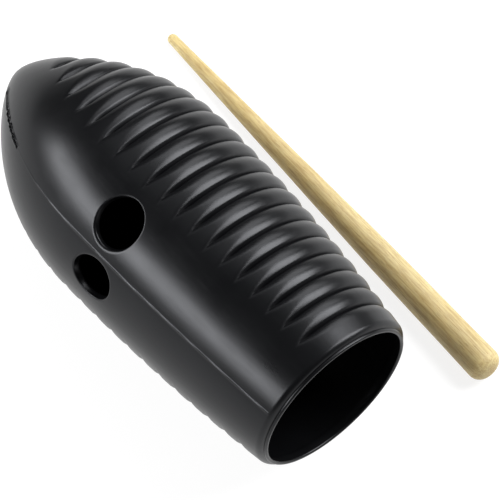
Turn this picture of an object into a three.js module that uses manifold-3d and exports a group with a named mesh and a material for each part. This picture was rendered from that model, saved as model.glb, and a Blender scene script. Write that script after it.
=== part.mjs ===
// A guiro: a hollow gourd-shaped resonator and a loose wooden scraper.
// The resonator is two moulded half shells, bonded along a seam that runs lengthwise over both sides.
// One end is a closed nose and the other an open mouth. Grooves cross the playing side, the plain
// strip along one seam carries the two finger holes. Millimetres, +Z up, standing on z = 0, with
// +X along the resonator's axis toward its mouth. Angles around the axis run from +Y toward +Z.

import * as THREE from "three";
import { mergeVertices } from "three/addons/utils/BufferGeometryUtils.js";
import Module from "manifold-3d";

const wasm = await Module();
wasm.setup();

const DEGREE = Math.PI / 180;

// Resonator. Stations are distances back from the mouth plane.
const BODY_LENGTH = 232;
const BELLY_STATION = 136.4;
const BELLY_RADIUS = 54.8;
const MOUTH_RADIUS = 45.7;
const NOSE_BLUNTNESS = 0.6;
const NOSE_SLIMMING = 0.2;
const NOSE_SLIMMING_POWER = 3.5;
const WALL = 3.2;
const LIP_ROUND = 2.2;
const OPENING_RADIUS = 41.6;
const BODY_SEGMENTS = 40;
const INNER_RINGS = 12;
const NOSE_RINGS = 5;

// Seam between the two half shells
const SEAM_ANGLE = 145.4 * DEGREE;
const BOND_GAP = 0.3;

// Playing grooves
const GROOVE_COUNT = 19;
const FIRST_GROOVE = 15.8;
const GROOVE_PITCH = 10.85;
const GROOVE_DEPTH = 2.1;
const GROOVE_START = 43 * DEGREE;
const GROOVE_START_AT_NOSE = 63.4 * DEGREE;
const NOSE_GROOVES_FROM = 0.75;
const NOSE_GROOVES_CURVE = 2.2;
const GROOVE_FADE = 16 * DEGREE;
const VALLEY_NARROWING = 1.5;
const RINGS_PER_GROOVE = 4;

// Finger holes. Their edges are rounded outside and end in a short collar inside. The stretch is
// a hole's size around the body over its size along the body.
const HOLE_RADIUS = 12;
const HOLE_ROUND = 1.2;
const HOLE_SEGMENTS = 32;
const COLLAR_DEPTH = 3.7;
const COLLAR_WALL = 1.6;
const THUMB_HOLE = { station: 120.5, angle: SEAM_ANGLE - 20.4 * DEGREE, stretch: 1.13 };
const FINGER_HOLE = { station: 117.8, angle: SEAM_ANGLE + 15.6 * DEGREE, stretch: 0.93 };

// Scraper
const SCRAPER_LENGTH = 242;
const SCRAPER_THIN_RADIUS = 2.65;
const SCRAPER_SHOULDER_RADIUS = 7.5;
const SCRAPER_THICK_RADIUS = 8.7;
const SCRAPER_SHOULDER = 160;
const SCRAPER_END_ROUND = 6;
const SCRAPER_PAST_MOUTH = 21.6;
const SCRAPER_OFFSET = 83.2;
const SCRAPER_TURN = -1.36 * DEGREE;
const SCRAPER_SEGMENTS = 20;

// Materials
function blackPlastic() {
  return new THREE.MeshStandardMaterial({ color: 0x17181a, roughness: 0.34, metalness: 0 });
}

function paleHardwood() {
  return new THREE.MeshStandardMaterial({ color: 0xd8bd8a, roughness: 0.55, metalness: 0 });
}

// Solids and meshes
function toSolid(geometry) {
  const bare = geometry.clone();
  bare.deleteAttribute("normal");
  bare.deleteAttribute("uv");
  const merged = mergeVertices(bare);
  return new wasm.Manifold(new wasm.Mesh({
    numProp: 3,
    vertProperties: new Float32Array(merged.attributes.position.array),
    triVerts: new Uint32Array(merged.index.array),
  }));
}

function toGeometry(solid) {
  const mesh = solid.getMesh();
  const geometry = new THREE.BufferGeometry();
  geometry.setAttribute("position", new THREE.BufferAttribute(mesh.vertProperties, 3));
  geometry.setIndex(new THREE.BufferAttribute(mesh.triVerts, 1));
  geometry.computeVertexNormals();
  return geometry;
}

function namedMesh(name, geometry, material) {
  const mesh = new THREE.Mesh(geometry, material);
  mesh.name = name;
  return mesh;
}

// Turns a shape revolved about +Y so that it is revolved about +X, with its y heights along +X.
function layAlongX(geometry) {
  geometry.rotateZ(-90 * DEGREE);
  return geometry;
}

// The body's meridian: a shallow curve from the mouth to the belly, and a blunt rounded nose.
function bodyRadius(station) {
  const past = station - BELLY_STATION;
  if (past <= 0) {
    return BELLY_RADIUS - (BELLY_RADIUS - MOUTH_RADIUS) * (past / BELLY_STATION) ** 2;
  }
  const share = Math.min(past / (BODY_LENGTH - BELLY_STATION), 1);
  const slimming = 1 - NOSE_SLIMMING * share ** NOSE_SLIMMING_POWER;
  return BELLY_RADIUS * slimming * (1 - share ** 2) ** NOSE_BLUNTNESS;
}

// The point of the meridian at a station, moved outward along the meridian's own normal.
function meridianPoint(station, offset) {
  const step = 0.05;
  const slope = (bodyRadius(station + step) - bodyRadius(station - step)) / (2 * step);
  const lengthwise = Math.hypot(1, slope);
  return new THREE.Vector2(
    bodyRadius(station) + offset / lengthwise,
    -station + (offset * slope) / lengthwise,
  );
}

// Stations of the rings that draw the grooves: one in each valley, one on each crest and one between.
function grooveStations() {
  const stations = [];
  const count = (GROOVE_COUNT - 1) * RINGS_PER_GROOVE;
  for (let ring = -2; ring <= count + 2; ring += 1) {
    stations.push(FIRST_GROOVE + (ring * GROOVE_PITCH) / RINGS_PER_GROOVE);
  }
  return stations;
}

// Stations over the smooth nose, closing up toward its tip.
function noseStations(from) {
  const stations = [];
  for (let ring = 1; ring <= NOSE_RINGS; ring += 1) {
    const turn = (ring / (NOSE_RINGS + 1)) * 90 * DEGREE;
    stations.push(from + (BODY_LENGTH - from) * Math.sin(turn));
  }
  return stations;
}

function lipArc() {
  const points = [];
  for (const turn of [0, 30, 60, 90]) {
    points.push(new THREE.Vector2(
      MOUTH_RADIUS - LIP_ROUND * (1 - Math.cos(turn * DEGREE)),
      -LIP_ROUND * (1 - Math.sin(turn * DEGREE)),
    ));
  }
  return points;
}

// How deep the grooves are at an angle away from the seam: none on the plain strip, then fading in.
function grooveDepth(station, fromSeam) {
  const alongGrooves = (station - FIRST_GROOVE) / ((GROOVE_COUNT - 1) * GROOVE_PITCH);
  const pastBelly = (alongGrooves - NOSE_GROOVES_FROM) / (1 - NOSE_GROOVES_FROM);
  const nearNose = THREE.MathUtils.clamp(pastBelly, 0, 1) ** NOSE_GROOVES_CURVE;
  const start = THREE.MathUtils.lerp(GROOVE_START, GROOVE_START_AT_NOSE, nearNose);
  return GROOVE_DEPTH * THREE.MathUtils.smoothstep(fromSeam, start, start + GROOVE_FADE);
}

// The share of the full depth at a station: 1 in a valley and 0 on a rounded crest.
function grooveShape(station) {
  const first = FIRST_GROOVE - GROOVE_PITCH / 2;
  const last = FIRST_GROOVE + (GROOVE_COUNT - 0.5) * GROOVE_PITCH;
  if (station <= first || station >= last) {
    return 0;
  }
  const phase = ((station - FIRST_GROOVE) / GROOVE_PITCH) * Math.PI;
  return (1 - Math.abs(Math.sin(phase))) ** VALLEY_NARROWING;
}

function angleFromSeam(angle) {
  const turned = THREE.MathUtils.euclideanModulo(angle - SEAM_ANGLE + Math.PI, 2 * Math.PI);
  return Math.abs(turned - Math.PI);
}

// Sinks the outer surface's points into the grooves.
function pressGrooves(geometry) {
  const position = geometry.attributes.position;
  for (let i = 0; i < position.count; i += 1) {
    const station = -position.getX(i);
    const radius = Math.hypot(position.getY(i), position.getZ(i));
    const isOuter = radius > bodyRadius(station) - 0.01;
    if (isOuter && station > LIP_ROUND) {
      const angle = Math.atan2(position.getZ(i), position.getY(i));
      const depth = grooveDepth(station, angleFromSeam(angle)) * grooveShape(station);
      const share = (radius - depth) / radius;
      position.setY(i, position.getY(i) * share);
      position.setZ(i, position.getZ(i) * share);
    }
  }
  return geometry;
}

// The whole hollow body, revolved from a profile that runs from the nose tip over the outside to
// the lip and back along the inside.
function hollowBody() {
  const ridged = grooveStations();
  const outer = [...ridged, ...noseStations(ridged[ridged.length - 1])];
  const profile = [new THREE.Vector2(0, -BODY_LENGTH)];
  for (const station of outer.reverse()) {
    profile.push(meridianPoint(station, 0));
  }
  profile.push(...lipArc());
  profile.push(new THREE.Vector2(OPENING_RADIUS, 0));
  for (let ring = 0; ring < INNER_RINGS; ring += 1) {
    const turn = ((ring + 0.4) / INNER_RINGS) * 90 * DEGREE;
    profile.push(meridianPoint(BODY_LENGTH * Math.sin(turn), -WALL));
  }
  profile.push(new THREE.Vector2(0, -BODY_LENGTH + WALL));
  const halfStep = 180 * DEGREE / BODY_SEGMENTS;
  const body = new THREE.LatheGeometry(profile, BODY_SEGMENTS, SEAM_ANGLE - 90 * DEGREE + halfStep);
  return toSolid(pressGrooves(layAlongX(body)));
}

// A plug on a finger hole's own axis, whose levels follow the shell's curve across the body. The
// profile's heights are counted from the shell's outer surface.
function plugAt({ station, angle, stretch }, profile) {
  const surface = bodyRadius(station);
  const plug = new THREE.LatheGeometry(profile, HOLE_SEGMENTS);
  plug.scale(1, 1, stretch);
  const position = plug.attributes.position;
  for (let i = 0; i < position.count; i += 1) {
    const level = Math.sqrt(surface ** 2 - position.getZ(i) ** 2);
    position.setY(i, position.getY(i) + level);
  }
  plug.rotateX(angle);
  plug.translate(-station, 0, 0);
  return toSolid(plug);
}

// The space of a finger hole: a bore whose upper edge flares outward in a rounded lip.
function holeBore(hole) {
  const below = -COLLAR_DEPTH - WALL;
  const profile = [new THREE.Vector2(0, below), new THREE.Vector2(HOLE_RADIUS, below)];
  for (const turn of [0, 30, 60, 90]) {
    profile.push(new THREE.Vector2(
      HOLE_RADIUS + HOLE_ROUND * (1 - Math.cos(turn * DEGREE)),
      -HOLE_ROUND * (1 - Math.sin(turn * DEGREE)),
    ));
  }
  profile.push(new THREE.Vector2(HOLE_RADIUS + HOLE_ROUND, WALL));
  profile.push(new THREE.Vector2(0, WALL));
  return plugAt(hole, profile);
}

// The turned-in collar around a finger hole, still without its bore.
function holeCollar(hole) {
  const radius = HOLE_RADIUS + COLLAR_WALL;
  return plugAt(hole, [
    new THREE.Vector2(0, -COLLAR_DEPTH),
    new THREE.Vector2(radius, -COLLAR_DEPTH),
    new THREE.Vector2(radius, -WALL / 2),
    new THREE.Vector2(0, -WALL / 2),
  ]);
}

// A block that covers one side of the seam plane, from half the bond gap outward.
function sideBlock(side) {
  const size = 2 * BODY_LENGTH;
  const block = new THREE.BoxGeometry(size, size, size);
  block.translate(-BODY_LENGTH / 2, 0, side * (size / 2 + BOND_GAP / 2));
  block.rotateX(SEAM_ANGLE - 180 * DEGREE);
  return toSolid(block);
}

function resonator() {
  let body = hollowBody();
  for (const hole of [THUMB_HOLE, FINGER_HOLE]) {
    body = body.add(holeCollar(hole)).subtract(holeBore(hole));
  }
  const thumbSide = toGeometry(body.intersect(sideBlock(1)));
  const fingerSide = toGeometry(body.intersect(sideBlock(-1)));
  const group = new THREE.Group();
  group.add(namedMesh("thumb_side_shell", thumbSide, blackPlastic()));
  group.add(namedMesh("finger_side_shell", fingerSide, blackPlastic()));
  group.position.z = BELLY_RADIUS;
  return group;
}

// The scraper's outline from its thin round tip, over the long taper, to its domed thick end.
function scraperProfile() {
  const points = [];
  for (const turn of [0, 30, 60, 90]) {
    points.push(new THREE.Vector2(
      SCRAPER_THIN_RADIUS * Math.sin(turn * DEGREE),
      SCRAPER_THIN_RADIUS * (1 - Math.cos(turn * DEGREE)),
    ));
  }
  points.push(new THREE.Vector2(SCRAPER_SHOULDER_RADIUS, SCRAPER_SHOULDER));
  const corner = SCRAPER_THICK_RADIUS - SCRAPER_END_ROUND;
  for (const turn of [0, 25, 50, 75]) {
    points.push(new THREE.Vector2(
      corner + SCRAPER_END_ROUND * Math.cos(turn * DEGREE),
      SCRAPER_LENGTH - SCRAPER_END_ROUND * (1 - Math.sin(turn * DEGREE)),
    ));
  }
  points.push(new THREE.Vector2(0, SCRAPER_LENGTH));
  return points;
}

// The scraper lies on its taper beside the body, its thick end just past the mouth.
function scraper() {
  const rod = layAlongX(new THREE.LatheGeometry(scraperProfile(), SCRAPER_SEGMENTS));
  const mesh = namedMesh("scraper", toGeometry(toSolid(rod)), paleHardwood());
  const rise = SCRAPER_SHOULDER_RADIUS - SCRAPER_THIN_RADIUS;
  const lean = Math.atan2(rise, SCRAPER_SHOULDER - SCRAPER_THIN_RADIUS);
  mesh.rotation.set(0, -lean, SCRAPER_TURN, "ZYX");
  const tipHeight = SCRAPER_THIN_RADIUS / Math.cos(lean) - SCRAPER_THIN_RADIUS * Math.tan(lean);
  const reach = SCRAPER_LENGTH * Math.cos(lean);
  mesh.position.set(
    SCRAPER_PAST_MOUTH - reach * Math.cos(SCRAPER_TURN),
    SCRAPER_OFFSET - (reach / 2) * Math.sin(SCRAPER_TURN),
    tipHeight,
  );
  return mesh;
}

// The origin is under the middle of the whole set, on the standing surface.
const guiro = new THREE.Group();
guiro.add(resonator());
guiro.add(scraper());
const extent = new THREE.Box3().setFromObject(guiro, true);
const middle = extent.getCenter(new THREE.Vector3());
guiro.position.set(-middle.x, -middle.y, -extent.min.z);

export default guiro;
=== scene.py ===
"""The looks of a guiro and its scraper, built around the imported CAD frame. Metres and radians.

The resonator is two moulded half shells that meet along a lengthwise seam. Each shell is one closed
mesh, made on a grid of stations (distances back from the mouth) and angles away from the seam. The
scraper is a turned hardwood rod.
"""

import math

import bmesh
import bpy
from mathutils import Matrix, Vector, noise


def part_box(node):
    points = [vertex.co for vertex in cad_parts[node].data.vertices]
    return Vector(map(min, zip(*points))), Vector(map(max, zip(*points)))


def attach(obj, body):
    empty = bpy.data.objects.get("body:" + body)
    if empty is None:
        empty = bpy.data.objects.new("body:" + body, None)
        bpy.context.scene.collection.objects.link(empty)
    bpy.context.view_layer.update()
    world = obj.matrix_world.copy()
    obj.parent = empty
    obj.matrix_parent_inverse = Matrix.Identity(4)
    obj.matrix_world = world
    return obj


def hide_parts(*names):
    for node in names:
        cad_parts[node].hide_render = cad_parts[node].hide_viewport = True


MM = 0.001
DEGREE = math.pi / 180
SHARP_EDGE = 38 * DEGREE
SLOPE_STEP = 0.05 * MM

# Resonator, as in the CAD
BODY_LENGTH = 232 * MM
BELLY_STATION = 136.4 * MM
BELLY_RADIUS = 54.8 * MM
MOUTH_RADIUS = 45.7 * MM
NOSE_BLUNTNESS = 0.6
NOSE_SLIMMING = 0.2
NOSE_SLIMMING_POWER = 3.5
WALL = 3.2 * MM
OPENING_RADIUS = 41.6 * MM
SEAM_ANGLE = 145.4 * DEGREE

# Mouth rim: the wall rolls in to a crease, and a small round lip stands in front of it
RIM_DEPTH = 5 * MM
RIM_ROLL = 72 * DEGREE
RIM_STEPS = 7
LIP_RADIUS = 1.05 * MM
LIP_START = 30 * DEGREE
LIP_STEPS = 10
LINES_BEFORE_GROOVES = 6

# Playing grooves
GROOVE_COUNT = 19
FIRST_GROOVE = 15.8 * MM
GROOVE_PITCH = 10.85 * MM
WAVE_DEPTH = 1.6 * MM
VALLEY_DEPTH = 1.0 * MM
VALLEY_WIDTH = 0.24
GROOVE_START = 43 * DEGREE
GROOVE_LEAD_IN = 2 * DEGREE
GROOVE_START_AT_NOSE = 63.4 * DEGREE
NOSE_GROOVES_FROM = 0.75
NOSE_GROOVES_CURVE = 2.2
GROOVE_DEEPENING = 12 * DEGREE
GROOVE_WIDENING = 24 * DEGREE
GROOVE_END_WIDTH = 0.2
LINES_PER_GROOVE = 20
NOSE_LINES = 14

# Seam: a fine raised bead along the body, and a sunk weld line over the nose
BEAD_HEIGHT = 0.22 * MM
BEAD_HALF_WIDTH = 0.65 * MM
BACK_BEAD_HEIGHT = 0.14 * MM
BEAD_RIPPLE = 0.6
BEAD_RIPPLES_PER_MM = 0.11
BEAD_FADE = 0.9
BEAD_FADE_FROM = 150 * MM
BEAD_FADE_TO = 188 * MM
WELD_DEPTH = 0.6 * MM
WELD_DEPTH_VARIES = 0.6
WELD_HALF_WIDTH = 0.5 * MM
WELD_FLAT_SHARE = 0.15
WELD_SWAY = 0.2 * MM
WELD_SWAY_PITCH = 1.9 * MM
WELD_SWAY_JITTER = 4
WELD_NICKS_PER_MM = 0.55
WELD_EDGE_HEIGHT = 0.45 * MM
WELD_EDGE_MEAN = 0.9
WELD_EDGE_VARIES = 1.6
WELD_EDGE_ARC = 0.95 * MM
WELD_EDGE_HALF_WIDTH = 0.6 * MM
WELD_END_PIT = 0.9 * MM
PIT_FLAT_SHARE = 0.3
WELD_START = 191 * MM
WELD_START_RAMP = 1.5 * MM
WELD_END = 227 * MM
WELD_END_RAMP = 4 * MM
SEAM_WANDER = 0.16 * MM
SEAM_WANDERS_PER_MM = 0.035
SEAM_WANDER_REACH = 5 * DEGREE
BEAD_NOISE_ROW = 3.7
WELD_NOISE_ROW = 7.1
BACK_WANDER_NOISE_ROW = 9
BOND_GAP = 0.03 * MM
INNER_BEAD_HEIGHT = 0.7 * MM
INNER_BEAD_HALF_WIDTH = 1.6 * MM
INNER_BEAD_FROM = 6 * MM
INNER_BEAD_FULL = 14 * MM

# Lines of the shell's grid, as angles away from a seam
LINES_NEAR_SEAM = [angle * DEGREE for angle in (0, 0.12, 0.25, 0.42, 0.7, 1.1)]
FIRST_HOLE_LINE = 1.3 * DEGREE
LAST_PLAIN_LINE = 1.7 * DEGREE
WELD_LINE_STEP = 0.5 * DEGREE
WELD_LINES = 4
HOLE_LINE_STEP = 1.6 * DEGREE
PLAIN_LINE_STEP = 2.4 * DEGREE

# Finger holes: semi-axes of the bore along and around the body, in one shell each
HOLE_RADIUS = 12 * MM
HOLE_ROUND = 0.9 * MM
HOLE_ROUND_AT_SEAM = 2.4 * MM
HOLE_ROUND_DEPTH = 1.5 * MM
COLLAR_DEPTH = 3.7 * MM
COLLAR_WALL = 1.6 * MM
COLLAR_TAPER = 0.5 * MM
COLLAR_MIDDLE = 0.55
COLLAR_EDGE = 0.25 * MM
COLLAR_EDGE_CUT = 0.3
COLLAR_FILLET = 0.6 * MM
HOLE_LIP_STEPS = 6
THUMB_HOLE = {"station": 120.5 * MM, "angle": 20.4 * DEGREE, "stretch": 1.13}
FINGER_HOLE = {"station": 117.8 * MM, "angle": 15.6 * DEGREE, "stretch": 0.93}
HOLE_MARGIN = 4.5 * MM
HOLE_MARGIN_AROUND = 5 * DEGREE
PATCH_RINGS = 6
PATCH_CROWDING = 1.5

# Scraper
SCRAPER_LENGTH = 242 * MM
SCRAPER_THIN_RADIUS = 2.65 * MM
SCRAPER_SHOULDER_RADIUS = 7.5 * MM
SCRAPER_THICK_RADIUS = 8.7 * MM
SCRAPER_SHOULDER = 160 * MM
SCRAPER_END_ROUND = 6 * MM
SCRAPER_OFFSET = 83.2 * MM
SCRAPER_TURN = -1.36 * DEGREE
SCRAPER_RINGS = 120
SCRAPER_SIDES = 64
SCRAPER_TIP_RINGS = 8
SCRAPER_END_RINGS = 9
SCRAPER_END_TURN = 80 * DEGREE
SCRAPER_WOBBLE = 0.2 * MM
SCRAPER_WOBBLES_PER_MM = 0.04

# Values the meshes carry for their materials
# The vertex value carries two things: the dull inside of the moulding, which is not polished, and
# painted shade in the groove valleys.
MATT_AND_SHADE_ATTRIBUTE = "unpolished_and_painted_shade"
# Painted shade: the groove valleys lose most of their reflection, standing in for the shade between
# the ridges.
VALLEY_PAINTED_SHADE = 0.75
GRAIN_ATTRIBUTE = "rod_place"

# Camera
CAMERA_AZIMUTH = 49.0 * DEGREE
CAMERA_ELEVATION = 62.9 * DEGREE
CAMERA_DISTANCE = 6.68
CAMERA_LENS_MM = 1008
CAMERA_SENSOR_MM = 36
CAMERA_CLIP_END = 50
AIM_FROM_MOUTH = Vector((-83.7, 19.15, 6.4)) * MM

# Floor, world and area lights: each light's name, place, aim, size and power in watts
FLOOR_HALF_SIZE = 12.0
FLOOR_GLOW = 0.84
WORLD_STRENGTH = 0.12
LIGHTS = (
    ("key", (-0.75, -1.16, 0.7), (-0.27, 0, 0.05), (1.7, 0.45), 35),
    ("side", (0.44, 0.95, 1.0), (0, 0, 0.05), (0.75, 1.0), 32),
    ("fill", (-0.46, 0.95, 1.02), (0, 0, 0.05), (0.8, 1.0), 11),
    ("overhead", (-0.45, 0.35, 1.35), (0, 0, 0.05), (1.2, 0.7), 1.8),
)


def smoothstep(value, low, high):
    """0 up to low, 1 from high on, and a smooth rise between them."""
    share = min(max((value - low) / (high - low), 0.0), 1.0)
    return share * share * (3 - 2 * share)


def lerp(a, b, share):
    return a + (b - a) * share


# The frame: where the body's axis and its mouth are


def body_place():
    """The centre of the mouth plane, from the boxes of the two CAD shells."""
    boxes = [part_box("thumb_side_shell"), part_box("finger_side_shell")]
    low = Vector([min(box[0][i] for box in boxes) for i in range(3)])
    high = Vector([max(box[1][i] for box in boxes) for i in range(3)])
    return Vector((high.x, (low.y + high.y) / 2, (low.z + high.z) / 2))


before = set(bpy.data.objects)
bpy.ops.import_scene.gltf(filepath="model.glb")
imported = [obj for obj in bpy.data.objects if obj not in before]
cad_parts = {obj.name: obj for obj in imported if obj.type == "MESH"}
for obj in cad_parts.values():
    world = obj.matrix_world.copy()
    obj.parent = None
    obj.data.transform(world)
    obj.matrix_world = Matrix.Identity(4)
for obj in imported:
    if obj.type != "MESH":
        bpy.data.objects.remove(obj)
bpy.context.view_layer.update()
MOUTH = body_place()


def make_camera():
    """A long lens, far off, that looks down at the part from the mouth's end."""
    data = bpy.data.cameras.new("camera")
    data.type = "PERSP"
    data.sensor_width = CAMERA_SENSOR_MM
    data.lens = CAMERA_LENS_MM
    data.clip_end = CAMERA_CLIP_END
    camera = bpy.data.objects.new("camera", data)
    bpy.context.scene.collection.objects.link(camera)
    back = Vector((
        math.sin(CAMERA_AZIMUTH) * math.cos(CAMERA_ELEVATION),
        -math.cos(CAMERA_AZIMUTH) * math.cos(CAMERA_ELEVATION),
        math.sin(CAMERA_ELEVATION),
    ))
    camera.location = MOUTH + AIM_FROM_MOUTH + back * CAMERA_DISTANCE
    camera.rotation_mode = "QUATERNION"
    camera.rotation_quaternion = (-back).to_track_quat("-Z", "Y")
    bpy.context.scene.camera = camera


make_camera()


# The body's surfaces


def body_radius(station):
    """The body's plain radius: a shallow curve to the belly, then a blunt nose."""
    past = station - BELLY_STATION
    if past <= 0:
        return BELLY_RADIUS - (BELLY_RADIUS - MOUTH_RADIUS) * (past / BELLY_STATION) ** 2
    share = min(past / (BODY_LENGTH - BELLY_STATION), 1.0)
    slimming = 1 - NOSE_SLIMMING * share**NOSE_SLIMMING_POWER
    return BELLY_RADIUS * slimming * (1 - share**2) ** NOSE_BLUNTNESS


def meridian_point(station, offset):
    """The meridian's (station, radius), moved outward along its own normal."""
    low = min(station - SLOPE_STEP, BODY_LENGTH - 2 * SLOPE_STEP)
    slope = (body_radius(low + 2 * SLOPE_STEP) - body_radius(low)) / (2 * SLOPE_STEP)
    length = math.hypot(1, slope)
    return station - offset * slope / length, body_radius(station) + offset / length


def groove_at(station, angle):
    """How far the outer surface sinks into a groove, and the share of the cut valley in it."""
    along = (station - FIRST_GROOVE) / ((GROOVE_COUNT - 1) * GROOVE_PITCH)
    past_belly = min(max((along - NOSE_GROOVES_FROM) / (1 - NOSE_GROOVES_FROM), 0), 1)
    start = lerp(GROOVE_START, GROOVE_START_AT_NOSE, past_belly**NOSE_GROOVES_CURVE)
    fade = smoothstep(angle, start - GROOVE_LEAD_IN, start + GROOVE_DEEPENING)
    number = round((station - FIRST_GROOVE) / GROOVE_PITCH)
    if fade == 0 or number < 0 or number >= GROOVE_COUNT:
        return 0.0, 0.0
    from_valley = abs(station - FIRST_GROOVE - number * GROOVE_PITCH) / (GROOVE_PITCH / 2)
    widening = min(max((angle - start) / GROOVE_WIDENING, 0), 1)
    width = lerp(GROOVE_END_WIDTH, 1, math.sin(widening * math.pi / 2))
    wave = 1 - math.sin(math.pi / 2 * min(from_valley / width, 1))
    valley = 1 - smoothstep(from_valley, 0, VALLEY_WIDTH * (0.5 + 0.5 * width))
    return (WAVE_DEPTH * wave + VALLEY_DEPTH * valley) * fade, valley * fade


def seam_offset(station, arc, is_front, side):
    """The height of the bead or the depth of the weld line at a distance from the seam."""
    ripple = noise.noise(Vector((station / MM * BEAD_RIPPLES_PER_MM, BEAD_NOISE_ROW, 0)))
    bead = max(1 - arc / BEAD_HALF_WIDTH, 0)
    if not is_front:
        return BACK_BEAD_HEIGHT * bead
    height = BEAD_HEIGHT * (1 + BEAD_RIPPLE * ripple)
    height *= 1 - BEAD_FADE * smoothstep(station, BEAD_FADE_FROM, BEAD_FADE_TO)
    weld = smoothstep(station, WELD_START, WELD_START + WELD_START_RAMP)
    weld *= 1 - smoothstep(station, WELD_END - WELD_END_RAMP, WELD_END)
    nicks = noise.noise(Vector((station / MM * WELD_NICKS_PER_MM, WELD_NOISE_ROW, 0)))
    sway = WELD_SWAY * math.sin(station / WELD_SWAY_PITCH * 2 * math.pi + WELD_SWAY_JITTER * nicks)
    across = abs(arc * side - sway)
    trench = 1 - smoothstep(across, WELD_FLAT_SHARE * WELD_HALF_WIDTH, WELD_HALF_WIDTH)
    edge = 1 - smoothstep(abs(across - WELD_EDGE_ARC), 0, WELD_EDGE_HALF_WIDTH)
    edge *= WELD_EDGE_HEIGHT * (WELD_EDGE_MEAN + WELD_EDGE_VARIES * nicks)
    sunk = WELD_DEPTH * trench * (1 + WELD_DEPTH_VARIES * nicks)
    pit = math.hypot(arc, station - WELD_START - WELD_END_PIT) / WELD_END_PIT
    sunk = max(sunk, WELD_DEPTH * (1 - smoothstep(pit, PIT_FLAT_SHARE, 1)))
    return height * bead * (1 - weld) + weld * (edge - sunk)


class Shell:
    """One half shell. Angles grow away from the front seam, to a half turn at the back seam."""

    def __init__(self, turn, hole):
        self.turn = turn
        self.hole = hole
        self.vertices = []
        self.faces = []
        self.matt_and_shade = []

    def seam_wander(self, station, angle):
        """A small change of angle that keeps the two seams from being quite straight."""
        near_front = max(1 - angle / SEAM_WANDER_REACH, 0)
        near_back = max(1 - (math.pi - angle) / SEAM_WANDER_REACH, 0)
        along = station / MM * SEAM_WANDERS_PER_MM
        drift = noise.noise(Vector((along, 0, 0))) * near_front
        drift += noise.noise(Vector((along, BACK_WANDER_NOISE_ROW, 0))) * near_back
        return SEAM_WANDER * drift / BELLY_RADIUS

    def place(self, station, radius, angle):
        """A point in space, held back from the seam plane by half the bond gap."""
        theta = SEAM_ANGLE + self.turn * angle + self.seam_wander(station, angle)
        point = Vector((-station, radius * math.cos(theta), radius * math.sin(theta)))
        middle = SEAM_ANGLE + self.turn * math.pi / 2
        apart = 1 if radius > BOND_GAP else 0
        gap = Vector((0, math.cos(middle), math.sin(middle))) * BOND_GAP / 2 * apart
        return MOUTH + point + gap

    def outer_point(self, station, angle):
        radius = body_radius(station)
        front = angle < math.pi / 2
        arc = radius * (angle if front else math.pi - angle)
        offset = seam_offset(station, arc, front, self.turn) - groove_at(station, angle)[0]
        moved, wide = meridian_point(station, offset)
        return self.place(moved, wide, angle)

    def inner_point(self, station, angle):
        radius = body_radius(station)
        arc = radius * min(angle, math.pi - angle)
        bead = INNER_BEAD_HEIGHT * (1 - smoothstep(arc, 0, INNER_BEAD_HALF_WIDTH))
        bead *= smoothstep(station, INNER_BEAD_FROM, INNER_BEAD_FULL)
        moved, wide = meridian_point(station, -WALL - bead)
        return self.place(moved, wide, angle)

    def add(self, point, matt_and_shade=0.0):
        """A vertex, and how much its surface is dulled: the inside of the moulding, which is not
        polished, and painted shade in the groove valleys.
        """
        self.vertices.append(point)
        self.matt_and_shade.append(matt_and_shade)
        return len(self.vertices) - 1

    def face(self, *corners):
        """A face that looks the same way out on both shells."""
        self.faces.append(corners if self.turn < 0 else tuple(reversed(corners)))

    def strip(self, a, b, closed=False):
        """Quads between two rows of the same length, round to the start again if they are closed."""
        count = len(a)
        for i in range(count if closed else count - 1):
            j = (i + 1) % count
            self.face(a[i], a[j], b[j], b[i])


def even_lines(low, high, spacing):
    """Evenly spaced values past low, up to high."""
    steps = round((high - low) / spacing)
    return [lerp(low, high, i / steps) for i in range(1, steps + 1)]


def angle_lines(hole_low, hole_high):
    """Angles from seam to seam: close together on the bead and the weld, even elsewhere."""
    lines = LINES_NEAR_SEAM + [hole_low + i * WELD_LINE_STEP for i in range(WELD_LINES + 1)]
    lines += even_lines(lines[-1], hole_high, HOLE_LINE_STEP)
    lines += even_lines(hole_high, math.pi - LAST_PLAIN_LINE, PLAIN_LINE_STEP)
    lines += [math.pi - angle for angle in reversed(LINES_NEAR_SEAM)]
    return lines


def station_lines():
    """Stations from just behind the rim to just short of the nose tip."""
    first = FIRST_GROOVE - GROOVE_PITCH / 2
    lines = [
        lerp(RIM_DEPTH, first, i / LINES_BEFORE_GROOVES) for i in range(LINES_BEFORE_GROOVES)
    ]
    count = GROOVE_COUNT * LINES_PER_GROOVE
    lines += [first + i * GROOVE_PITCH / LINES_PER_GROOVE for i in range(count + 1)]
    last = lines[-1]
    for i in range(1, NOSE_LINES):
        turn = i / NOSE_LINES * 90 * DEGREE
        lines.append(last + (BODY_LENGTH - last) * math.sin(turn))
    return lines


def nearest(lines, value):
    return min(range(len(lines)), key=lambda i: abs(lines[i] - value))


def lip_round(turn):
    """The rounding of a hole's lip, widest on the side toward the seam."""
    return lerp(HOLE_ROUND, HOLE_ROUND_AT_SEAM, max(-math.sin(turn), 0) ** 2)


def patch_limits(hole, lines):
    """The indices of the station lines that bound a hole's patch."""
    reach = HOLE_RADIUS + HOLE_ROUND + HOLE_MARGIN
    low = nearest(lines, hole["station"] - reach)
    high = nearest(lines, hole["station"] + reach)
    return low, high


def hole_axis(shell):
    """The direction of the hole's axis, out of the body."""
    theta = SEAM_ANGLE + shell.turn * shell.hole["angle"]
    return Vector((0, math.cos(theta), math.sin(theta)))


def border_loop(grid, columns, rows):
    """(row, column) pairs and vertex indices once round a rectangular block of a grid."""
    c0, c1 = columns
    r0, r1 = rows
    loop = [(r0, c) for c in range(c0, c1)]
    loop += [(r, c1) for r in range(r0, r1)]
    loop += [(r1, c) for c in range(c1, c0, -1)]
    loop += [(r, c0) for r in range(r1, r0, -1)]
    return loop, [grid[r][c] for r, c in loop]


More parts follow.
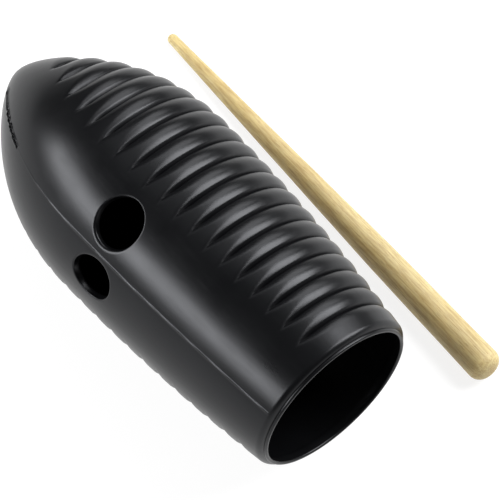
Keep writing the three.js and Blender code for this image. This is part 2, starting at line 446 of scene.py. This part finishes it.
def ellipse_at(hole, turn, grow, radius):
    """The (station, angle) of a point on the hole's ellipse, with both semi-axes grown."""
    around = HOLE_RADIUS * hole["stretch"] + grow
    station = hole["station"] + (HOLE_RADIUS + grow) * math.cos(turn)
    angle = hole["angle"] + math.asin(around * math.sin(turn) / radius)
    return station, angle


def patch(shell, grid, columns, rows, stations, angles, point_at, grow_at, radius, matt_and_shade=0.0):
    """Rings from a rectangular gap in a grid in to an ellipse: (ring before, ring, turns)."""
    hole = shell.hole
    loop, previous = border_loop(grid, columns, rows)
    half_s = (stations[rows[1]] - stations[rows[0]]) / 2
    half_a = (angles[columns[1]] - angles[columns[0]]) / 2
    mid_s = (stations[rows[1]] + stations[rows[0]]) / 2
    mid_a = (angles[columns[1]] + angles[columns[0]]) / 2
    turns = []
    for r, c in loop:
        turns.append(math.atan2((angles[c] - mid_a) / half_a, (stations[r] - mid_s) / half_s))
    for ring in range(1, PATCH_RINGS + 1):
        share = 1 - (1 - ring / PATCH_RINGS) ** PATCH_CROWDING
        current = []
        for (r, c), turn in zip(loop, turns):
            station, angle = ellipse_at(hole, turn, grow_at(turn), radius)
            place = lerp(stations[r], station, share), lerp(angles[c], angle, share)
            current.append(shell.add(point_at(*place), matt_and_shade))
        yield previous, current, turns
        previous = current


def collar_profile(rounding):
    """(growth of the semi-axes, depth under the outer surface) over the lip and down the collar."""
    profile = []
    for step in range(1, HOLE_LIP_STEPS + 1):
        turn = step / HOLE_LIP_STEPS * 90 * DEGREE
        depth = min(rounding, HOLE_ROUND_DEPTH) * (1 - math.cos(turn))
        profile.append((rounding * (1 - math.sin(turn)), depth))
    profile.append((-COLLAR_TAPER * 0.5, COLLAR_DEPTH * COLLAR_MIDDLE))
    corner = COLLAR_EDGE_CUT * COLLAR_EDGE
    profile.append((-COLLAR_TAPER, COLLAR_DEPTH - COLLAR_EDGE))
    profile.append((-COLLAR_TAPER + corner, COLLAR_DEPTH - corner))
    profile.append((-COLLAR_TAPER + COLLAR_EDGE, COLLAR_DEPTH))
    profile.append((COLLAR_WALL - COLLAR_EDGE, COLLAR_DEPTH))
    profile.append((COLLAR_WALL - corner, COLLAR_DEPTH - corner))
    profile.append((COLLAR_WALL, COLLAR_DEPTH - COLLAR_EDGE))
    return profile


def collar_foot(turn):
    """The growth of the hole's semi-axes where the collar meets the wall, the same all round."""
    return COLLAR_WALL + COLLAR_FILLET


def build_hole(shell, outer, inner, columns, rows, stations, angles):
    """The hole's lip and collar, with patches that join them to both surfaces of the wall."""
    hole = shell.hole
    radius = body_radius(hole["station"])
    axis = hole_axis(shell)
    for previous, current, turns in patch(
        shell, outer, columns, rows, stations, angles, shell.outer_point, lip_round, radius
    ):
        shell.strip(previous, current, closed=True)
        lip = current
    profiles = [collar_profile(lip_round(turn)) for turn in turns]
    for level in zip(*profiles):
        current = []
        for turn, (grow, depth) in zip(turns, level):
            spot = ellipse_at(hole, turn, grow, radius)
            matt_and_shade = smoothstep(depth, HOLE_ROUND_DEPTH, COLLAR_DEPTH)
            current.append(shell.add(shell.outer_point(*spot) - axis * depth, matt_and_shade))
        shell.strip(lip, current, closed=True)
        lip = current
    for previous, current, _ in patch(
        shell, inner, columns, rows, stations, angles, shell.inner_point, collar_foot,
        radius - WALL, matt_and_shade=1.0,
    ):
        shell.strip(current, previous, closed=True)
        inside = current
    shell.strip(lip, inside, closed=True)


def rim_profile():
    """(station, radius) points from the outside, over the roll and the lip, to the inside."""
    lip_middle = OPENING_RADIUS + LIP_RADIUS
    crease = lip_middle + LIP_RADIUS * math.cos(LIP_START)
    crease_station = LIP_RADIUS * (1 + math.sin(LIP_START))
    start = body_radius(RIM_DEPTH)
    points = []
    for step in range(1, RIM_STEPS + 1):
        turn = step / RIM_STEPS * RIM_ROLL
        along = math.sin(turn) / math.sin(RIM_ROLL)
        inward = (1 - math.cos(turn)) / (1 - math.cos(RIM_ROLL))
        points.append((lerp(RIM_DEPTH, crease_station, along), lerp(start, crease, inward)))
    for step in range(1, LIP_STEPS + 1):
        turn = lerp(-LIP_START, 180 * DEGREE, step / LIP_STEPS)
        points.append((
            LIP_RADIUS * (1 - math.sin(turn)),
            lip_middle + LIP_RADIUS * math.cos(turn),
        ))
    return points


def build_shell(turn, hole):
    """A half shell: outer and inner grids, the hole, the nose, the rim and both seam faces."""
    shell = Shell(turn, hole)
    stations = station_lines()
    reach = math.asin((HOLE_RADIUS * hole["stretch"] + HOLE_ROUND) / body_radius(hole["station"]))
    low = max(hole["angle"] - reach - HOLE_MARGIN_AROUND, FIRST_HOLE_LINE)
    high = hole["angle"] + reach + HOLE_MARGIN_AROUND
    angles = angle_lines(low, high)
    columns = nearest(angles, low), nearest(angles, high)
    rows = patch_limits(hole, stations)

    outer = []
    for s in stations:
        # Painted shade: the groove valleys are dulled, standing in for the shade that falls between
        # the ridges.
        valley_shade = [VALLEY_PAINTED_SHADE * groove_at(s, a)[1] for a in angles]
        outer.append([shell.add(shell.outer_point(s, a), v) for a, v in zip(angles, valley_shade)])
    inner = [[shell.add(shell.inner_point(s, a), 1.0) for a in angles] for s in stations]
    for r in range(len(stations) - 1):
        for c in range(len(angles) - 1):
            if rows[0] <= r < rows[1] and columns[0] <= c < columns[1]:
                continue
            shell.face(outer[r][c], outer[r][c + 1], outer[r + 1][c + 1], outer[r + 1][c])
            shell.face(inner[r][c], inner[r + 1][c], inner[r + 1][c + 1], inner[r][c + 1])

    build_hole(shell, outer, inner, columns, rows, stations, angles)

    tip_out = shell.add(shell.place(BODY_LENGTH, 0, math.pi / 2))
    tip_in = shell.add(shell.place(BODY_LENGTH - WALL, 0, math.pi / 2), 1.0)
    for c in range(len(angles) - 1):
        shell.face(outer[-1][c], outer[-1][c + 1], tip_out)
        shell.face(inner[-1][c + 1], inner[-1][c], tip_in)

    rim = [outer[0]]
    for station, radius in rim_profile():
        rim.append([shell.add(shell.place(station, radius, a)) for a in angles])
    rim.append(inner[0])
    for a, b in zip(rim, rim[1:]):
        shell.strip(b, a)

    for column in (0, len(angles) - 1):
        across = list(zip(outer, inner))
        for (o1, i1), (o2, i2) in zip(across, across[1:]):
            side = (o1[column], o2[column], i2[column], i1[column])
            shell.face(*(side if column == 0 else reversed(side)))
        closing = [row[column] for row in rim]
        shell.face(*(closing if column else reversed(closing)))
        end = (outer[-1][column], tip_out, tip_in, inner[-1][column])
        shell.face(*(end if column == 0 else reversed(end)))
    return shell


def mesh_object(name, vertices, faces):
    """An object at the origin, smooth but for its sharp edges, with its faces turned outward."""
    mesh = bpy.data.meshes.new(name)
    mesh.from_pydata([tuple(v) for v in vertices], [], [tuple(face) for face in faces])
    work = bmesh.new()
    work.from_mesh(mesh)
    bmesh.ops.recalc_face_normals(work, faces=work.faces)
    work.to_mesh(mesh)
    work.free()
    mesh.polygons.foreach_set("use_smooth", [True] * len(mesh.polygons))
    mesh.set_sharp_from_angle(angle=SHARP_EDGE)
    mesh.update()
    obj = bpy.data.objects.new(name, mesh)
    bpy.context.scene.collection.objects.link(obj)
    return obj


# Scraper


def scraper_radius(x):
    """The rod's radius at a distance from its thin tip."""
    if x < SCRAPER_THIN_RADIUS:
        return math.sqrt(max(SCRAPER_THIN_RADIUS**2 - (SCRAPER_THIN_RADIUS - x) ** 2, 0))
    if x < SCRAPER_SHOULDER:
        share = (x - SCRAPER_THIN_RADIUS) / (SCRAPER_SHOULDER - SCRAPER_THIN_RADIUS)
        return lerp(SCRAPER_THIN_RADIUS, SCRAPER_SHOULDER_RADIUS, share)
    share = (x - SCRAPER_SHOULDER) / (SCRAPER_LENGTH - SCRAPER_END_ROUND - SCRAPER_SHOULDER)
    radius = lerp(SCRAPER_SHOULDER_RADIUS, SCRAPER_THICK_RADIUS, min(share, 1))
    into_end = x - (SCRAPER_LENGTH - SCRAPER_END_ROUND)
    if into_end > 0:
        drop = SCRAPER_END_ROUND - math.sqrt(max(SCRAPER_END_ROUND**2 - into_end**2, 0))
        radius -= drop
    return radius


def scraper_stations():
    """Distances from the thin tip, closing up over both rounded ends."""
    lines = []
    for i in range(1, SCRAPER_TIP_RINGS + 1):
        turn = i / SCRAPER_TIP_RINGS * 90 * DEGREE
        lines.append(SCRAPER_THIN_RADIUS * (1 - math.cos(turn)))
    start = SCRAPER_THIN_RADIUS
    end = SCRAPER_LENGTH - SCRAPER_END_ROUND
    lines += [lerp(start, end, i / SCRAPER_RINGS) for i in range(1, SCRAPER_RINGS + 1)]
    for i in range(1, SCRAPER_END_RINGS + 1):
        turn = i / SCRAPER_END_RINGS * SCRAPER_END_TURN
        lines.append(end + SCRAPER_END_ROUND * math.sin(turn))
    return lines


def scraper_mesh():
    """The rod's vertices and faces, with its thin tip at the origin and its length along +X."""
    vertices = [Vector((0, 0, 0))]
    faces = []
    rings = []
    for x in scraper_stations():
        ring = []
        along = x / MM * SCRAPER_WOBBLES_PER_MM
        for side in range(SCRAPER_SIDES):
            turn = side / SCRAPER_SIDES * 2 * math.pi
            radius = scraper_radius(x)
            bump = noise.noise(Vector((along, math.cos(turn), math.sin(turn))))
            radius -= SCRAPER_WOBBLE * (0.5 + 0.5 * bump) * min(radius / SCRAPER_THICK_RADIUS, 1)
            ring.append(len(vertices))
            vertices.append(Vector((x, radius * math.cos(turn), radius * math.sin(turn))))
        rings.append(ring)
    for a, b in zip(rings, rings[1:]):
        for i in range(SCRAPER_SIDES):
            j = (i + 1) % SCRAPER_SIDES
            faces.append((a[i], b[i], b[j], a[j]))
    tip = len(vertices)
    vertices.append(Vector((SCRAPER_LENGTH, 0, 0)))
    for i in range(SCRAPER_SIDES):
        j = (i + 1) % SCRAPER_SIDES
        faces.append((0, rings[0][i], rings[0][j]))
        faces.append((tip, rings[-1][j], rings[-1][i]))
    return vertices, faces


def build_scraper():
    """The rod where it lies: tilted so that its taper rests along the floor."""
    rod = mesh_object("scraper_rod", *scraper_mesh())
    lean = math.atan2(
        SCRAPER_SHOULDER_RADIUS - SCRAPER_THIN_RADIUS, SCRAPER_SHOULDER - SCRAPER_THIN_RADIUS
    )
    far_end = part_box("scraper")[1].x
    reach = SCRAPER_LENGTH * math.cos(lean)
    tip_place = Vector((
        far_end - reach * math.cos(SCRAPER_TURN),
        MOUTH.y + SCRAPER_OFFSET - reach / 2 * math.sin(SCRAPER_TURN),
        SCRAPER_THIN_RADIUS / math.cos(lean) - SCRAPER_THIN_RADIUS * math.tan(lean),
    ))
    grain = rod.data.attributes.new(GRAIN_ATTRIBUTE, "FLOAT_VECTOR", "POINT")
    for vertex, place in zip(rod.data.vertices, grain.data):
        place.vector = vertex.co
    rod.data.transform(
        Matrix.Translation(tip_place)
        @ Matrix.Rotation(SCRAPER_TURN, 4, "Z")
        @ Matrix.Rotation(-lean, 4, "Y")
    )
    return rod


# Materials


class Nodes:
    """A small helper that makes and links a material's nodes."""

    def __init__(self, name):
        self.material = bpy.data.materials.new(name)
        self.material.use_nodes = True
        self.tree = self.material.node_tree
        self.shader = self.tree.nodes["Principled BSDF"]

    def link(self, source, target):
        self.tree.links.new(source, target)

    def ramp(self, fac, stops):
        made = self.tree.nodes.new("ShaderNodeValToRGB")
        elements = made.color_ramp.elements
        while len(elements) < len(stops):
            elements.new(0.5)
        for element, (position, colour) in zip(elements, stops):
            element.position = position
            element.color = (*colour, 1)
        self.link(fac, made.inputs["Fac"])
        return made.outputs["Color"]

    def grey_ramp(self, fac, low, high, low_value, high_value):
        """A grey of low_value up to low, rising to high_value at high."""
        return self.ramp(fac, [(low, (low_value,) * 3), (high, (high_value,) * 3)])

    def noise(self, coords, scale, detail, roughness, stretch=(1, 1, 1)):
        mapping = self.tree.nodes.new("ShaderNodeMapping")
        mapping.inputs["Scale"].default_value = stretch
        self.link(coords, mapping.inputs["Vector"])
        made = self.tree.nodes.new("ShaderNodeTexNoise")
        made.inputs["Scale"].default_value = scale
        made.inputs["Detail"].default_value = detail
        made.inputs["Roughness"].default_value = roughness
        self.link(mapping.outputs["Vector"], made.inputs["Vector"])
        return made.outputs["Fac"]

    def math(self, operation, a, b):
        made = self.tree.nodes.new("ShaderNodeMath")
        made.operation = operation
        for socket, value in zip(made.inputs, (a, b)):
            if isinstance(value, (int, float)):
                socket.default_value = value
            else:
                self.link(value, socket)
        return made.outputs["Value"]

    def multiply(self, colour, shade, factor):
        """One colour darkened by another."""
        made = self.tree.nodes.new("ShaderNodeMix")
        made.data_type = "RGBA"
        made.blend_type = "MULTIPLY"
        made.inputs["Factor"].default_value = factor
        self.link(colour, made.inputs["A"])
        self.link(shade, made.inputs["B"])
        return made.outputs["Result"]

    def bump(self, height, strength, distance, normal=None):
        made = self.tree.nodes.new("ShaderNodeBump")
        made.inputs["Strength"].default_value = strength
        made.inputs["Distance"].default_value = distance
        self.link(height, made.inputs["Height"])
        if normal is not None:
            self.link(normal, made.inputs["Normal"])
        return made.outputs["Normal"]

    def attribute(self, name):
        made = self.tree.nodes.new("ShaderNodeAttribute")
        made.attribute_name = name
        return made

    def coordinates(self):
        return self.tree.nodes.new("ShaderNodeTexCoord").outputs["Object"]


def black_plastic():
    """Satin black plastic: a faint moulded texture, rub marks and haze, matt where not polished, and
    painted shade that dulls the reflection in the groove valleys.
    """
    m = Nodes("satin_black_plastic")
    coords = m.coordinates()
    haze = m.noise(coords, scale=28, detail=5, roughness=0.6)
    flow = m.noise(coords, scale=60, detail=3, roughness=0.5, stretch=(0.25, 1, 1))
    fine = m.noise(coords, scale=1400, detail=2, roughness=0.5)
    scuffs = m.noise(coords, scale=500, detail=3, roughness=0.7, stretch=(0.12, 1, 1))
    colour = m.ramp(haze, [(0.3, (0.0014, 0.0015, 0.0018)), (0.7, (0.0024, 0.0025, 0.0029))])
    m.link(colour, m.shader.inputs["Base Color"])
    base = m.grey_ramp(haze, low=0.3, high=0.75, low_value=0.27, high_value=0.34)
    rub = m.grey_ramp(scuffs, low=0.5, high=0.8, low_value=0.0, high_value=0.05)
    matt_and_shade = m.attribute(MATT_AND_SHADE_ATTRIBUTE).outputs["Fac"]
    rough = m.math("ADD", m.math("ADD", base, rub), m.math("MULTIPLY", matt_and_shade, 0.2))
    m.link(rough, m.shader.inputs["Roughness"])
    # Less reflection where the vertex value is high: the inside that is not polished, and painted
    # shade in the groove valleys.
    shine = m.grey_ramp(matt_and_shade, low=0, high=1, low_value=0.5, high_value=0.06)
    m.link(shine, m.shader.inputs["Specular IOR Level"])
    m.shader.inputs["Specular Tint"].default_value = (0.93, 0.95, 1.0, 1)
    normal = m.bump(fine, strength=0.12, distance=0.06 * MM)
    normal = m.bump(flow, strength=0.25, distance=0.4 * MM, normal=normal)
    m.link(normal, m.shader.inputs["Normal"])
    m.shader.inputs["IOR"].default_value = 1.33
    return m.material


def pale_wood():
    """Sanded pale hardwood with fine lengthwise grain, pores and soft colour bands."""
    m = Nodes("pale_hardwood")
    coords = m.attribute(GRAIN_ATTRIBUTE).outputs["Vector"]
    bands = m.noise(coords, scale=110, detail=4, roughness=0.55, stretch=(0.12, 1, 1))
    grain = m.noise(coords, scale=1300, detail=5, roughness=0.65, stretch=(0.05, 1, 1))
    pores = m.noise(coords, scale=2400, detail=2, roughness=0.5, stretch=(0.08, 1, 1))
    tone = m.ramp(bands, [(0.3, (0.40, 0.31, 0.135)), (0.7, (0.47, 0.395, 0.21))])
    streak = m.ramp(grain, [(0.38, (0.66, 0.58, 0.46)), (0.58, (1, 1, 1))])
    dots = m.ramp(pores, [(0.30, (0.55, 0.46, 0.34)), (0.40, (1, 1, 1))])
    colour = m.multiply(m.multiply(tone, streak, factor=0.8), dots, factor=0.6)
    m.link(colour, m.shader.inputs["Base Color"])
    rough = m.grey_ramp(bands, low=0.3, high=0.7, low_value=0.5, high_value=0.62)
    m.link(rough, m.shader.inputs["Roughness"])
    m.link(m.bump(grain, strength=0.3, distance=0.2 * MM), m.shader.inputs["Normal"])
    m.shader.inputs["Subsurface Weight"].default_value = 0.6
    m.shader.inputs["Subsurface Radius"].default_value = (1, 0.9, 0.7)
    m.shader.inputs["Subsurface Scale"].default_value = 0.02
    return m.material


def floor_material():
    """A matt pale floor that glows a little, so that shadows on it stay soft and light."""
    m = Nodes("pale_floor")
    m.shader.inputs["Base Color"].default_value = (0.2, 0.2, 0.2, 1)
    m.shader.inputs["Roughness"].default_value = 0.9
    m.shader.inputs["Emission Color"].default_value = (1, 1, 1, 1)
    m.shader.inputs["Emission Strength"].default_value = FLOOR_GLOW
    return m.material


# Floor, lights and world


def make_floor():
    size = FLOOR_HALF_SIZE
    corners = [(-size, -size, 0), (size, -size, 0), (size, size, 0), (-size, size, 0)]
    floor = mesh_object("floor", [Vector(c) for c in corners], [(0, 1, 2, 3)])
    floor.data.materials.append(floor_material())


def area_light(name, place, aim, size, power):
    data = bpy.data.lights.new(name, "AREA")
    data.shape = "RECTANGLE"
    data.size, data.size_y = size
    data.energy = power
    light = bpy.data.objects.new(name, data)
    bpy.context.scene.collection.objects.link(light)
    light.location = place
    direction = Vector(aim) - Vector(place)
    light.rotation_mode = "QUATERNION"
    light.rotation_quaternion = direction.to_track_quat("-Z", "Y")


def make_lights():
    world = bpy.data.worlds.new("studio")
    world.use_nodes = True
    background = world.node_tree.nodes["Background"]
    background.inputs["Color"].default_value = (1, 1, 1, 1)
    background.inputs["Strength"].default_value = WORLD_STRENGTH
    bpy.context.scene.world = world
    for light in LIGHTS:
        area_light(*light)
    bpy.context.scene.view_settings.view_transform = "Standard"


def main():
    plastic = black_plastic()
    for name, turn, hole, node in (
        ("thumb_side_shell_skin", -1, THUMB_HOLE, "thumb_side_shell"),
        ("finger_side_shell_skin", 1, FINGER_HOLE, "finger_side_shell"),
    ):
        shell = build_shell(turn, hole)
        skin = mesh_object(name, shell.vertices, shell.faces)
        matt_and_shade = skin.data.attributes.new(MATT_AND_SHADE_ATTRIBUTE, "FLOAT", "POINT")
        matt_and_shade.data.foreach_set("value", shell.matt_and_shade)
        skin.data.materials.append(plastic)
        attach(skin, "resonator")
        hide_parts(node)
    rod = build_scraper()
    rod.data.materials.append(pale_wood())
    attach(rod, "scraper")
    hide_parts("scraper")
    make_floor()
    make_lights()


main()
